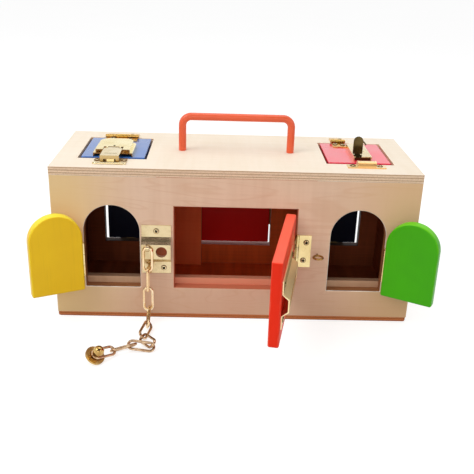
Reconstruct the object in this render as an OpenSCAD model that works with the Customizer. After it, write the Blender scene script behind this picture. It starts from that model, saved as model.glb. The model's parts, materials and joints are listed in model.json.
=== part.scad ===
// Wooden lock box: a plywood case with three compartments, eight small doors and a carrying handle.
// Millimetres, +Z up, +X to the right and -Y towards the front. The origin is the centre of the base.
// The three front doors stand open, and the roof and back doors are shut.

/* [Case] */
// Outer width of the case
case_w = 400; // [380:5:440]
// Outer depth of the case
case_d = 154; // [140:1:180]
// Height of the case, without the handle
case_h = 177; // [170:1:200]
// Plywood of the front, back and side walls
wall_t = 11.5; // [10:0.5:13]
// Plywood of the roof
roof_t = 9; // [7:0.5:11]
// Plywood of the floor
floor_t = 5; // [4:0.5:7]
// Radius of the floor's corners
floor_corner_r = 4; // [2:0.5:8]
// Thickness of the two dividers
divider_t = 8; // [6:0.5:10]
// Distance of the dividers from the middle
divider_x = 86; // [82:1:90]

/* [Front windows and doors] */
// Height of the window sills
sill_z = 38; // [34:1:44]
// Height of the windows
window_h = 97; // [90:1:104]
// Width of the two arched windows
arch_w = 61; // [54:1:66]
// Distance of the arched windows from the middle
arch_x = 135.5; // [134:0.5:138]
// Width of the middle window
mid_w = 134.5; // [120:0.5:136]
// Plywood of the front and back doors
door_t = 11.2; // [9:0.1:13]
// Gap at each side of a square door
door_gap = 1.5; // [1.3:0.1:2.2]
// Gap at each side of an arched door
arch_gap = 1.9; // [1.8:0.1:2.6]
// Gap under a front door
low_gap = 3; // [2:0.5:4]
// Gap over a front door
high_gap = 3.5; // [2:0.5:5]
// Angle at which the yellow door stands open
yellow_open = 155; // [120:1:160]
// Angle at which the red door stands open
red_open = 79.5; // [60:0.5:100]
// Angle at which the green door stands open
green_open = 150; // [120:1:158]
// Height of the door stop above the sills
stop_rise = 7.5; // [5:0.5:10]
// Thickness of the door stops
stop_t = 8; // [6:0.5:10]

/* [Roof doors] */
// Width of a roof opening
roof_open_w = 75.5; // [70:0.5:80]
// Distance of the roof openings from the middle
roof_x = 137.5; // [134:0.5:142]
// Front edge of the roof openings
roof_front_y = -41.5; // [-44:0.5:-38]
// Back edge of the roof openings
roof_back_y = 48; // [44:0.5:52]
// Gap at each side of a roof door
roof_gap = 2.6; // [1.5:0.1:4]
// Gap in front of a roof door
roof_front_gap = 5.5; // [4:0.5:7]

/* [Back doors] */
// Gap round the outer back doors, and over and under the middle one
back_gap = 4.2; // [3.5:0.1:6]
// How far the outer back openings reach below the front sills
back_drop = 4; // [2:0.5:6]
// Width of the middle back opening
back_mid_w = 98; // [90:1:104]
// Height of the middle back opening
back_mid_h = 90; // [80:1:96]
// How far the middle back opening reaches below the front sills
back_mid_drop = 6; // [4:0.5:8]
// Gap at each side of the middle back door
back_mid_gap = 2.2; // [1.6:0.1:3]
// How far the middle back stop reaches into its opening
back_stop_lap = 8.4; // [6:0.2:14]
// Length of a turn button
button_l = 34; // [30:1:38]
// Width of a turn button
button_w = 9; // [7:0.5:11]
// Thickness of a turn button
button_t = 4; // [3:0.5:5]

/* [Hinges] */
// Length of the front and blue door hinges
hinge_l = 38; // [32:1:42]
// Length of the pink door hinge
small_hinge_l = 16; // [14:1:20]
// Length of the outer back door hinges
back_hinge_l = 25; // [22:1:30]
// Width of a hinge leaf, from the pin
leaf_w = 15.6; // [13:0.1:18]
// Width of the pink hinge's leaves
small_leaf_w = 19.4; // [16:0.2:22]
// Sheet thickness of a hinge leaf
leaf_t = 1.2; // [0.8:0.1:1.5]
// Outer radius of a hinge knuckle
knuckle_r = 2.25; // [2:0.05:2.6]
// Radius of a hinge pin
pin_r = 1.1; // [0.9:0.05:1.3]
// Radius of a wood screw
screw_r = 1.2; // [1:0.1:1.5]
// Radius of a screw head
screw_head_r = 2.4; // [2.1:0.1:2.8]
// Length of a wood screw under its head
screw_l = 7.5; // [6:0.5:8]

/* [Carrying handle] */
// Radius of the handle's rod
rod_r = 4.3; // [3.5:0.1:5]
// Distance between the handle's two legs
handle_span = 124.4; // [100:0.2:140]
// Height of the grip's middle above the roof
handle_rise = 39.5; // [34:0.5:48]
// Radius of the handle's bends
bend_r = 10; // [8:0.5:16]

/* [Chain lock] */
// Width of the anchor plate
plate_w = 32.3; // [28:0.1:34]
// Height of the anchor plate
plate_h = 57.2; // [50:0.2:60]
// Height of the middle of the anchor plate and the track
plate_z = 85; // [84:0.5:86]
// Middle of the anchor plate from the case's middle
plate_x = -86.6; // [-87.5:0.1:-86]
// Sheet thickness of the plate and the track
plate_t = 1.2; // [1:0.1:1.5]
// How far the plate's channel stands out
channel_rise = 9; // [8.5:0.1:9.5]
// Width of the face of the plate's channel
channel_face = 17; // [15:0.2:19]
// Width of the foot of the plate's channel
channel_foot = 30; // [27:0.2:31]
// Diameter of the parking hole
parking_d = 12.3; // [11.8:0.1:13]
// Length of the track on the red door
track_l = 89; // [70:1:95]
// Height of the track
track_h = 51; // [46:0.5:56]
// How far the track's channel stands out
track_rise = 7.4; // [6.5:0.1:8.5]
// Width of the face of the track's channel
track_face = 13.6; // [12:0.2:15]
// Width of the foot of the track's channel
track_foot = 23; // [21:0.2:26]
// Thickness of the chain's wire
wire_d = 2.9; // [2.75:0.05:3]
// Outer length of a link
link_l = 30; // [29:0.5:31]
// Outer width of a link
link_w = 12.4; // [12.2:0.1:13]

/* [Hook and eye] */
// Wire of the screw eyes and the hook
eye_wire_d = 2.2; // [2:0.1:2.6]
// Inner diameter of the screw eye
eye_d = 8; // [7.6:0.1:9]
// Distance of the screw eye from the middle
eye_x = 91.5; // [91:0.5:95]
// Height of the screw eye
eye_z = 82.5; // [78:0.5:86]
// Distance from the eye to the hook's pivot
hook_l = 36.5; // [33:0.5:38]

/* [Suitcase latch] */
// Width of the latch's base
latch_w = 43.5; // [38:0.5:48]
// Height of the latch's base
latch_h = 4.4; // [4:0.1:5.5]
// Height of the latch's hasp
hasp_h = 8.5; // [8:0.1:9.5]
// Width of the latch's hasp
hasp_w = 20.5; // [18:0.5:22]
// Width of the latch's keeper
keeper_w = 35.5; // [31:0.5:36]

/* [Slide bolt] */
// Middle of the slide bolt from the case's middle
bolt_x = 142; // [140:0.5:144]
// Width of the bolt's housing
housing_w = 20.4; // [18:0.2:22]
// Height of the bolt's housing
housing_h = 5; // [4.8:0.1:6]
// Length of the bolt's housing
housing_l = 55; // [48:1:58]
// Width of the bolt
bolt_w = 16; // [13:0.2:16]
// Height of the bolt's thumb tab
tab_h = 20; // [14:0.5:24]

/* [Hidden] */
$fn = 48;

// Clearances
pin_clear = 0.05;
gap = 0.3;
cut = 1;

// Planes of the case
front_y = -case_d / 2;
back_y = case_d / 2;
inner_d = case_d - 2 * wall_t;
side_room = case_w / 2 - wall_t - divider_x - divider_t / 2;
side_room_x = divider_x + (divider_t + side_room) / 2;
wall_top = case_h - roof_t;
wall_h = wall_top - floor_t;
window_top = sill_z + window_h;

// Front doors
door_low = sill_z + low_gap;
door_high = window_top - high_gap;
arch_door_w = arch_w - 2 * arch_gap;
mid_door_w = mid_w - 2 * door_gap;
arch_spring_z = door_high - arch_door_w / 2;

// Hinge lines: the pin stands off the face, just outside the window's edge
hinge_stand = knuckle_r + gap;
hinge_out = 1;
front_pin_y = front_y - hinge_stand;
back_pin_y = back_y + hinge_stand;
yellow_pin_x = -(arch_x + arch_w / 2 + hinge_out);
green_pin_x = arch_x + arch_w / 2 + hinge_out;
red_pin_x = mid_w / 2 + hinge_out;
arch_hinge_z = (door_low + arch_spring_z) / 2;
red_hinge_z = (door_low + door_high) / 2;
roof_pin_y = roof_back_y - door_gap / 2;
roof_pin_z = case_h + hinge_stand;
pink_hinge_off = 13;
pink_hinge_x = roof_x - pink_hinge_off;
back_low = sill_z - back_drop;
back_open_h = window_top - back_low;
back_door_w = arch_w - 2 * back_gap;
back_pin_z = back_low + back_gap / 2;
back_mid_low = sill_z - back_mid_drop;
back_mid_z = back_mid_low + back_mid_h / 2;
back_mid_pin_x = (back_mid_w - back_mid_gap) / 2;

// Screws and hinge pins
screw_head_h = 0.7;
screw_head_top_r = screw_head_r * 0.6;
screw_stagger = 1.2;
screw_spread = 0.28;
pin_head_lip = 0.7;
pin_head_h = 0.8;

// Roof doors
roof_door_w = roof_open_w - 2 * roof_gap;
roof_door_front_y = roof_front_y + roof_front_gap;
roof_door_d = roof_back_y - door_gap - roof_door_front_y;
roof_strip_w = 16;
roof_strip_h = 6;
roof_strip_lap = 3;

// Chain: heading, slope and roll of each link, and the slack in its hook
link_pose = [
    [-90, -90, 0, 0], [-90, -88, 90, 0], [-90, -90, 0, 0], [-88, -23, 76, 0], [-102, -4, -50, 2],
    [-57, 9, 42, 0], [179, 7, -33, 2.5], [206, -3, 39, 5], [-135, 11, -35, 0]
];
link_bend_r = (link_w - wire_d) / 2;
link_span = link_l - wire_d;
channel_y = front_y - channel_rise;
bridge_r = 2.6;
bridge_t = 1.2;
bridge_w = 3.6;
bridge_in = 7.25;
bridge_out = 2;
bridge_up = 5.5;
chain_start = [plate_x - plate_w / 2 + bridge_in, channel_y - bridge_out, plate_z + bridge_up];
plate_screw_z = (plate_h + channel_foot) / 4;
plate_screw_shift = 8;
parking_shift = 6;
track_in = 5;
track_end = 12;
track_y = front_y - track_rise;
track_screw_in = 8;
track_screw_z = (track_h + track_foot) / 4;
track_play = 1.2;
neck_r = 2.5;
neck_along = link_span - wire_d / 2 - neck_r - gap;

// Hook and eye
eye_ring_r = (eye_d + eye_wire_d) / 2;
eye_out = 9;
eye_stem_l = 14;
eye_y = front_y - eye_out;
hook_over = 0.5;
hook_z = eye_z + eye_wire_d + hook_over;
hook_pivot_x = eye_x + hook_l;
pivot_r = 2;
pivot_grip = 7;

// Suitcase latch, in heights above the roof
latch_x = -roof_x;
latch_sheet = 1.2;
latch_back_y = 16;
latch_shoulder_r = 14;
latch_front_in = 1;
latch_front_y = roof_door_front_y + latch_front_in;
latch_block_y = -23;
latch_dome_in = 3;
hasp_barrel_r = 1.9;
hasp_pin_r = 1;
hasp_barrel_gap = 1.6;
hasp_plate_gap = 1;
hasp_pin_y = latch_block_y - hasp_barrel_r - hasp_barrel_gap;
hasp_pin_z = latch_h + gap + hasp_barrel_r;
hasp_barrel_l = 12;
hasp_front_y = -60;
keeper_back_gap = 3;
keeper_lip_out = 4;
keeper_back_y = roof_front_y - keeper_back_gap;
keeper_front_y = hasp_front_y - keeper_lip_out;
keeper_post_y = -52;
keeper_screw_in = 3.2;

// Slide bolt, drawn back
housing_front_y = -27.5;
housing_sheet = 1.2;
bolt_t = housing_h - housing_sheet - 2 * gap;
bolt_nose_in = 1.5;
bolt_nose_y = housing_front_y + bolt_nose_in;
tab_side = 4.8;
tab_in = 8;
tab_x = bolt_x - tab_side;
tab_y = bolt_nose_y + tab_in;
tab_w = 10.8;
tab_t = 1.6;
tab_neck_w = 6;
bolt_keeper_w = 42;
bolt_keeper_y = -51;
bolt_keeper_r = 6.8;
bolt_keeper_screw_in = 6;

// Turn buttons
button_out = button_w * 0.75;
button_screw_r = 1.5;
left_button_z = window_top + button_out;
mid_button_x = -(back_mid_w / 2 + button_out);

// Shared shapes

module rounded_rect(w, d, r) {
    square([w - 2 * r, d], center = true);
    square([w, d - 2 * r], center = true);
    for (sx = [-1, 1], sy = [-1, 1])
        translate([sx * (w / 2 - r), sy * (d / 2 - r)]) circle(r);
}

// Outline with a straight foot and a half-round top
module arch(w, low, high) {
    translate([-w / 2, low]) square([w, high - low - w / 2]);
    translate([0, high - w / 2]) circle(w / 2);
}

// Stands an outline in X and Z up as a wall whose outer face is at y
module wall_from(y, t) {
    translate([0, y + t, 0]) rotate([90, 0, 0]) linear_extrude(t) children();
}

module ply_outline() {
    translate([-case_w / 2, floor_t]) square([case_w, wall_h]);
}

// Turns a piece about an upright pin
module swung(x, y, angle) {
    translate([x, y, 0]) rotate([0, 0, angle]) translate([-x, -y, 0]) children();
}

module yellow_swing() { swung(yellow_pin_x, front_pin_y, -yellow_open) children(); }
module red_swing() { swung(red_pin_x, front_pin_y, red_open) children(); }
module green_swing() { swung(green_pin_x, front_pin_y, green_open) children(); }

// Wood screw with its head at y < 0 and its shank along +Y
module wood_screw(length = screw_l) {
    rotate([-90, 0, 0]) cylinder(r = screw_r, h = length);
    rotate([90, 0, 0]) cylinder(r1 = screw_head_r, r2 = screw_head_top_r, h = screw_head_h);
}

module screw_hole(t) {
    translate([0, -cut, 0]) rotate([-90, 0, 0]) cylinder(r = screw_r + gap, h = t + 2 * cut);
}

// Hinge parts: pin along Z, face of the wood at y = hinge_stand, door towards +X
function knuckle_l(l) = (l - 2 * gap) / 3;
function screw_places(l, w) = [
    for (s = [-1, 1]) [(w + knuckle_r) / 2 + s * screw_stagger, s * l * screw_spread]
];

module knuckle(h) {
    translate([0, 0, -h / 2]) cylinder(r = knuckle_r, h = h);
    translate([0, hinge_stand - leaf_t, -h / 2]) cube([leaf_w / 2, leaf_t, h]);
}

module leaf_plate(l, w) {
    translate([knuckle_r + gap, hinge_stand - leaf_t, -l / 2]) cube([w - knuckle_r - gap, leaf_t, l]);
}

module leaf_cuts(l, w) {
    translate([0, 0, -l / 2 - cut]) cylinder(r = pin_r + pin_clear, h = l + 2 * cut);
    for (p = screw_places(l, w)) translate([p[0], hinge_stand - leaf_t, p[1]]) screw_hole(leaf_t);
}

module leaf_screws(l, w) {
    for (p = screw_places(l, w)) translate([p[0], hinge_stand - leaf_t, p[1]]) wood_screw();
}

module door_leaf(l, w) {
    difference() {
        union() {
            leaf_plate(l, w);
            knuckle(knuckle_l(l));
        }
        leaf_cuts(l, w);
    }
    leaf_screws(l, w);
}

module case_leaf(l, w) {
    mirror([1, 0, 0]) difference() {
        union() {
            leaf_plate(l, w);
            for (s = [-1, 1]) translate([0, 0, s * (l - knuckle_l(l)) / 2]) knuckle(knuckle_l(l));
        }
        leaf_cuts(l, w);
    }
}

module hinge_pin(l) {
    translate([0, 0, -l / 2 - gap]) cylinder(r = pin_r, h = l + 2 * gap);
    for (s = [-1, 1]) translate([0, 0, s * (l / 2 + gap + pin_head_h / 2)])
        cylinder(r = pin_r + pin_head_lip, h = pin_head_h, center = true);
}

// Places of the hinges on the case, with the doors shut
module at_yellow() { translate([yellow_pin_x, front_pin_y, arch_hinge_z]) children(); }
module at_red() { translate([red_pin_x, front_pin_y, red_hinge_z]) mirror([1, 0, 0]) children(); }
module at_green() { translate([green_pin_x, front_pin_y, arch_hinge_z]) mirror([1, 0, 0]) children(); }
module at_roof(x) {
    translate([x, roof_pin_y, roof_pin_z]) rotate([-90, 0, 0]) rotate([0, 90, 0]) children();
}
module at_low_back(x) {
    translate([x, back_pin_y, back_pin_z]) rotate([0, 0, 180]) rotate([0, -90, 0]) children();
}
module at_mid_back() { translate([back_mid_pin_x, back_pin_y, back_mid_z]) rotate([0, 0, 180]) children(); }

// Case

module bottom_panel() {
    color("burlywood") linear_extrude(floor_t) rounded_rect(case_w, case_d, floor_corner_r);
}

module front_panel() {
    color("tan") wall_from(front_y, wall_t) difference() {
        ply_outline();
        for (s = [-1, 1]) translate([s * arch_x, 0]) arch(arch_w, sill_z, window_top);
        translate([-mid_w / 2, sill_z]) square([mid_w, window_h]);
    }
}

module back_panel() {
    color("tan") wall_from(back_y - wall_t, wall_t) difference() {
        ply_outline();
        for (s = [-1, 1]) translate([s * arch_x - arch_w / 2, back_low]) square([arch_w, back_open_h]);
        translate([-back_mid_w / 2, back_mid_low]) square([back_mid_w, back_mid_h]);
    }
}

module side_panel(x) {
    color("burlywood") translate([x, -inner_d / 2, floor_t]) cube([wall_t, inner_d, wall_h]);
}

module left_side_panel() { side_panel(-case_w / 2); }
module right_side_panel() { side_panel(case_w / 2 - wall_t); }

module top_panel() {
    color("wheat") translate([0, 0, wall_top]) linear_extrude(roof_t) difference() {
        square([case_w, case_d], center = true);
        for (s = [-1, 1]) translate([s * roof_x - roof_open_w / 2, roof_front_y])
            square([roof_open_w, roof_back_y - roof_front_y]);
    }
}

module divider(x) {
    color("peru") translate([x - divider_t / 2, -inner_d / 2, floor_t]) cube([divider_t, inner_d, wall_h]);
}

module left_divider() { divider(-divider_x); }
module right_divider() { divider(divider_x); }

// Battens behind the sills that the front doors shut against
module front_stop_rails() {
    inner_l = 2 * divider_x - divider_t;
    rail_h = 20;
    color("tan") translate([0, -inner_d / 2, sill_z + stop_rise - rail_h]) {
        translate([-inner_l / 2, 0, 0]) cube([inner_l, stop_t, rail_h]);
        for (s = [-1, 1])
            translate([s * side_room_x - side_room / 2, 0, 0]) cube([side_room, stop_t, rail_h]);
    }
}

// Battens inside the back wall that the back doors shut against
module back_stop_strips() {
    lap = 4;
    strip_h = 18;
    strip_over = 3;
    strip_w = arch_w + 2 * strip_over;
    upright_w = divider_x - divider_t / 2 - back_mid_w / 2 + back_stop_lap;
    color("burlywood") {
        translate([-back_mid_w / 2 + back_stop_lap - upright_w, inner_d / 2 - stop_t, floor_t])
            cube([upright_w, stop_t, wall_h]);
        for (s = [-1, 1])
            translate([s * arch_x - strip_w / 2, inner_d / 2 - stop_t, window_top - back_gap - lap])
                cube([strip_w, stop_t, strip_h]);
    }
}

// Battens under the roof that carry the front edges of the roof doors
module roof_stop_strips() {
    strip_back_y = roof_door_front_y + roof_strip_lap;
    color("burlywood") for (s = [-1, 1])
        translate([s * side_room_x - side_room / 2, strip_back_y - roof_strip_w, wall_top - roof_strip_h])
            cube([side_room, roof_strip_w, roof_strip_h]);
}

// Handle

module carry_handle() {
    leg_h = handle_rise - bend_r;
    color("orangered") translate([0, 0, case_h]) {
        for (s = [-1, 1]) {
            translate([s * handle_span / 2, 0, 0]) cylinder(r = rod_r, h = leg_h);
            translate([s * (handle_span / 2 - bend_r), 0, leg_h]) rotate([90, 0, 0])
                rotate([0, 0, s > 0 ? 0 : 90])
                    rotate_extrude(angle = 90) translate([bend_r, 0]) circle(rod_r);
        }
        translate([-handle_span / 2 + bend_r, 0, handle_rise]) rotate([0, 90, 0])
            cylinder(r = rod_r, h = handle_span - 2 * bend_r);
    }
}

module handle_screws() {
    shank_r = 1.8;
    grip = 16;
    head_r = 4;
    head_h = 2;
    color("silver") for (s = [-1, 1]) translate([s * handle_span / 2, 0, wall_top]) {
        cylinder(r = shank_r, h = roof_t + grip);
        translate([0, 0, -head_h]) cylinder(r1 = head_r * 0.6, r2 = head_r, h = head_h);
    }
}

// Doors

module yellow_door() {
    color("gold") yellow_swing() wall_from(front_y, door_t)
        translate([-arch_x, 0]) arch(arch_door_w, door_low, door_high);
}

module red_door() {
    color("red") red_swing() wall_from(front_y, door_t)
        translate([-mid_door_w / 2, door_low]) square([mid_door_w, door_high - door_low]);
}

module green_door() {
    color("limegreen") green_swing() wall_from(front_y, door_t)
        translate([arch_x, 0]) arch(arch_door_w, door_low, door_high);
}

module roof_door(x) {
    translate([x - roof_door_w / 2, roof_door_front_y, wall_top])
        cube([roof_door_w, roof_door_d, roof_t]);
}

module blue_roof_door() { color("royalblue") roof_door(-roof_x); }
module pink_roof_door() { color("hotpink") roof_door(roof_x); }

module low_back_door(x) {
    wall_from(back_y - door_t, door_t) translate([x - back_door_w / 2, back_low + back_gap])
        square([back_door_w, back_open_h - 2 * back_gap]);
}

module left_back_door() { color("midnightblue") low_back_door(-arch_x); }
module right_back_door() { color("midnightblue") low_back_door(arch_x); }

module middle_back_door() {
    color("firebrick") wall_from(back_y - door_t, door_t)
        translate([-back_mid_w / 2 + back_mid_gap, back_mid_low + back_gap])
            square([back_mid_w - 2 * back_mid_gap, back_mid_h - 2 * back_gap]);
}

// Hinges

module yellow_hinge_leaf() { color("gold") yellow_swing() at_yellow() door_leaf(hinge_l, leaf_w); }
module red_hinge_leaf() { color("gold") red_swing() at_red() door_leaf(hinge_l, leaf_w); }
module green_hinge_leaf() { color("gold") green_swing() at_green() door_leaf(hinge_l, leaf_w); }
module blue_hinge_leaf() { color("gold") at_roof(-roof_x) door_leaf(hinge_l, leaf_w); }
module pink_hinge_leaf() { color("gold") at_roof(pink_hinge_x) door_leaf(small_hinge_l, small_leaf_w); }
module left_back_hinge_leaf() { color("gold") at_low_back(-arch_x) door_leaf(back_hinge_l, leaf_w); }
module right_back_hinge_leaf() { color("gold") at_low_back(arch_x) door_leaf(back_hinge_l, leaf_w); }
module middle_back_hinge_leaf() { color("gold") at_mid_back() door_leaf(hinge_l, leaf_w); }

module case_hinge_leaves() {
    color("gold") {
        at_yellow() case_leaf(hinge_l, leaf_w);
        at_red() case_leaf(hinge_l, leaf_w);
        at_green() case_leaf(hinge_l, leaf_w);
        at_roof(-roof_x) case_leaf(hinge_l, leaf_w);
        at_roof(pink_hinge_x) case_leaf(small_hinge_l, small_leaf_w);
        for (s = [-1, 1]) at_low_back(s * arch_x) case_leaf(back_hinge_l, leaf_w);
        at_mid_back() case_leaf(hinge_l, leaf_w);
    }
}

module hinge_pins() {
    color("goldenrod") {
        at_yellow() hinge_pin(hinge_l);
        at_red() hinge_pin(hinge_l);
        at_green() hinge_pin(hinge_l);
        at_roof(-roof_x) hinge_pin(hinge_l);
        at_roof(pink_hinge_x) hinge_pin(small_hinge_l);
        for (s = [-1, 1]) at_low_back(s * arch_x) hinge_pin(back_hinge_l);
        at_mid_back() hinge_pin(hinge_l);
    }
}

module case_screws() {
    color("goldenrod") {
        at_yellow() mirror([1, 0, 0]) leaf_screws(hinge_l, leaf_w);
        at_red() mirror([1, 0, 0]) leaf_screws(hinge_l, leaf_w);
        at_green() mirror([1, 0, 0]) leaf_screws(hinge_l, leaf_w);
        at_roof(-roof_x) mirror([1, 0, 0]) leaf_screws(hinge_l, leaf_w);
        at_roof(pink_hinge_x) mirror([1, 0, 0]) leaf_screws(small_hinge_l, small_leaf_w);
        for (s = [-1, 1]) at_low_back(s * arch_x) mirror([1, 0, 0]) leaf_screws(back_hinge_l, leaf_w);
        at_mid_back() mirror([1, 0, 0]) leaf_screws(hinge_l, leaf_w);
        for (p = plate_screws()) translate([p[0], front_y - plate_t, p[1]]) wood_screw();
        for (p = bolt_keeper_screws()) translate([p[0], p[1], case_h + housing_sheet]) roof_screw();
        for (p = latch_keeper_screws()) translate([p[0], p[1], case_h + latch_sheet]) roof_screw();
    }
}

module roof_screw() { rotate([-90, 0, 0]) wood_screw(); }
module roof_screw_hole(t) { rotate([-90, 0, 0]) screw_hole(t); }

// Chain lock

function plate_screws() = [
    [plate_x, plate_z + plate_screw_z],
    [plate_x + plate_screw_shift, plate_z - plate_screw_z]
];

// Section of a pressed channel, in Z and in distance from the wood
module channel_section(high, foot, face, rise) {
    slope = (foot - face) / 2 / rise;
    side_t = plate_t * 0.6;
    bend = foot / 2 + side_t - slope * plate_t;
    face_in = face / 2 - side_t;
    half = high / 2;
    polygon([
        [half, 0], [half, plate_t], [bend, plate_t], [face / 2, rise],
        [-face / 2, rise], [-bend, plate_t], [-half, plate_t], [-half, 0],
        [-foot / 2, 0], [-face_in, rise - plate_t], [face_in, rise - plate_t], [foot / 2, 0]
    ]);
}

// Runs a section along X from x0, with its back on the wood at front_y
module along_wall(x0, length) {
    translate([x0, front_y, plate_z]) rotate([90, 0, 90]) linear_extrude(length) rotate(90) children();
}

module chain_anchor_plate() {
    color("gold") difference() {
        union() {
            along_wall(plate_x - plate_w / 2, plate_w)
                channel_section(plate_h, channel_foot, channel_face, channel_rise);
            chain_bridge();
        }
        for (p = plate_screws()) translate([p[0], front_y - plate_t, p[1]]) screw_hole(plate_t);
        translate([plate_x + parking_shift, channel_y - cut, plate_z]) rotate([-90, 0, 0])
            cylinder(d = parking_d, h = plate_t + 2 * cut);
    }
}

// Pressed loop that holds the first link
module chain_bridge() {
    translate(chain_start) intersection() {
        rotate([0, 90, 0]) difference() {
            cylinder(r = bridge_r + bridge_t, h = bridge_w, center = true);
            cylinder(r = bridge_r, h = bridge_w + 2 * cut, center = true);
        }
        translate([-bridge_w, channel_y - chain_start[1] + plate_t / 2 - 3 * bridge_r, -3 * bridge_r])
            cube([2 * bridge_w, 3 * bridge_r, 6 * bridge_r]);
    }
}

// Track on the red door, with a keyhole slot for the chain's button
module chain_track() {
    track_x = -mid_door_w / 2 + track_in;
    slot_w = 2 * neck_r + track_play;
    color("gold") red_swing() difference() {
        along_wall(track_x, track_l) channel_section(track_h, track_foot, track_face, track_rise);
        translate([track_x + track_end, track_y - cut, plate_z - slot_w / 2])
            cube([track_l - 2 * track_end, plate_t + 2 * cut, slot_w]);
        translate([track_x + track_l - track_end, track_y - cut, plate_z]) rotate([-90, 0, 0])
            cylinder(d = parking_d, h = plate_t + 2 * cut);
        at_track_screws(track_x) screw_hole(plate_t);
    }
    color("goldenrod") red_swing() at_track_screws(track_x) wood_screw();
}

module at_track_screws(track_x) {
    for (x = [track_x + track_screw_in, track_x + track_l - track_screw_in], s = [-1, 1])
        translate([x, front_y - plate_t, plate_z + s * track_screw_z]) children();
}

// Direction along a link and across its width
function link_dir(i) = let (h = link_pose[i][0], s = link_pose[i][1])
    [cos(h) * cos(s), sin(h) * cos(s), sin(s)];
function link_side(i) = let (h = link_pose[i][0], s = link_pose[i][1], r = link_pose[i][2])
    cos(r) * [-sin(h), cos(h), 0] + sin(r) * [-cos(h) * sin(s), -sin(h) * sin(s), cos(s)];
// Where on the end arc of link i the next link pulls
function pull_angle(i) = let (d = link_dir(i + 1))
    max(-90, min(90, atan2(d * link_side(i), d * link_dir(i))));
// Middle of the wire at the near end of link i
function link_start(i) = i == 0 ? chain_start
    : let (a = pull_angle(i - 1)) link_start(i - 1) + (link_span - link_bend_r) * link_dir(i - 1)
        + link_bend_r * (cos(a) * link_dir(i - 1) + sin(a) * link_side(i - 1))
        - (wire_d + gap + link_pose[i][3]) * link_dir(i);

module on_link(i) {
    p = link_pose[i];
    translate(link_start(i)) rotate([p[2], -p[1], p[0]]) children();
}

// Oval link of round wire, from the near end along X
module oval_link() {
    straight = link_span - 2 * link_bend_r;
    for (s = [-1, 1]) translate([link_bend_r, s * link_bend_r, 0]) rotate([0, 90, 0])
        cylinder(d = wire_d, h = straight);
    translate([link_span - link_bend_r, 0, 0]) rotate([0, 0, -90]) rotate_extrude(angle = 180)
        translate([link_bend_r, 0]) circle(d = wire_d);
    translate([link_bend_r, 0, 0]) rotate([0, 0, 90]) rotate_extrude(angle = 180)
        translate([link_bend_r, 0]) circle(d = wire_d);
}

module chain_link(i) { color("gold") on_link(i - 1) oval_link(); }

// Turned button at the end of the chain, on its neck through the last link
module chain_button() {
    disc_r = 10.3;
    disc_t = 2.2;
    knob_r = 5.6;
    shoulder = wire_d / 2 + gap;
    boss_r = 6.5;
    boss_h = 4.4;
    color("gold") on_link(8) translate([neck_along, 0, 0]) {
        translate([0, 0, -shoulder - cut]) cylinder(r = neck_r, h = 2 * shoulder + 2 * cut);
        translate([0, 0, -shoulder - disc_t]) cylinder(r = disc_r, h = disc_t);
        translate([0, 0, -shoulder - disc_t - boss_h])
            cylinder(r1 = boss_r * 0.6, r2 = boss_r, h = boss_h);
        translate([0, 0, shoulder]) rotate_extrude() difference() {
            translate([0, knob_r * 0.75]) circle(knob_r);
            translate([-2 * knob_r, -4 * knob_r]) square([4 * knob_r, 4 * knob_r]);
            translate([-4 * knob_r, -2 * knob_r]) square([4 * knob_r, 6 * knob_r]);
        }
    }
}

// Hook and eye

module screw_eye() {
    color("goldenrod") translate([eye_x, eye_y, eye_z]) {
        rotate_extrude() translate([eye_ring_r, 0]) circle(d = eye_wire_d);
        translate([0, eye_ring_r, 0]) rotate([-90, 0, 0]) cylinder(d = eye_wire_d, h = eye_stem_l);
    }
}

// Shoulder screw in the green door that the hook turns on
module hook_pivot() {
    half = eye_wire_d / 2 + gap;
    head_lip = 2;
    head_t = 1.4;
    collar_lip = 1.6;
    color("goldenrod") green_swing() translate([hook_pivot_x, eye_y, hook_z]) rotate([-90, 0, 0]) {
        translate([0, 0, -half - head_t]) cylinder(r = pivot_r + head_lip, h = head_t);
        translate([0, 0, -half - head_t / 2])
            cylinder(r = pivot_r, h = half + head_t / 2 + eye_out + pivot_grip);
        translate([0, 0, half]) cylinder(r = pivot_r + collar_lip, h = eye_out - half);
    }
}

// Hook of bent wire, hanging down from its pivot
module door_hook() {
    loop_r = pivot_r + pin_clear;
    tip_l = 9;
    wire_r = eye_wire_d / 2;
    color("goldenrod") green_swing() translate([hook_pivot_x, eye_y, hook_z]) rotate([0, -90, 0]) {
        difference() {
            rotate([90, 0, 0]) cylinder(r = loop_r + eye_wire_d, h = eye_wire_d, center = true);
            rotate([90, 0, 0]) cylinder(r = loop_r, h = eye_wire_d + 2 * cut, center = true);
        }
        translate([-loop_r - wire_r, 0, 0]) rotate([0, -90, 0])
            cylinder(r = wire_r, h = hook_l - loop_r - wire_r);
        translate([-hook_l, 0, 0]) sphere(r = wire_r);
        translate([-hook_l, 0, -tip_l]) cylinder(r = wire_r, h = tip_l);
    }
}

// Suitcase latch

// Base outline with round shoulders at the back, inset by s
module latch_outline(s) {
    half = latch_w / 2 - s;
    shoulder = latch_shoulder_r - s;
    back = latch_back_y - s;
    translate([-half, latch_front_y]) square([2 * half, back - shoulder - latch_front_y]);
    translate([shoulder - half, latch_front_y]) square([2 * (half - shoulder), back - latch_front_y]);
    for (k = [-1, 1]) translate([k * (half - shoulder), back - shoulder]) circle(shoulder);
}

// Runs a side view, drawn in Y and Z, across a width centred on the latch
module across(w) {
    translate([-w / 2, 0, 0]) rotate([90, 0, 90]) linear_extrude(w) children();
}

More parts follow.
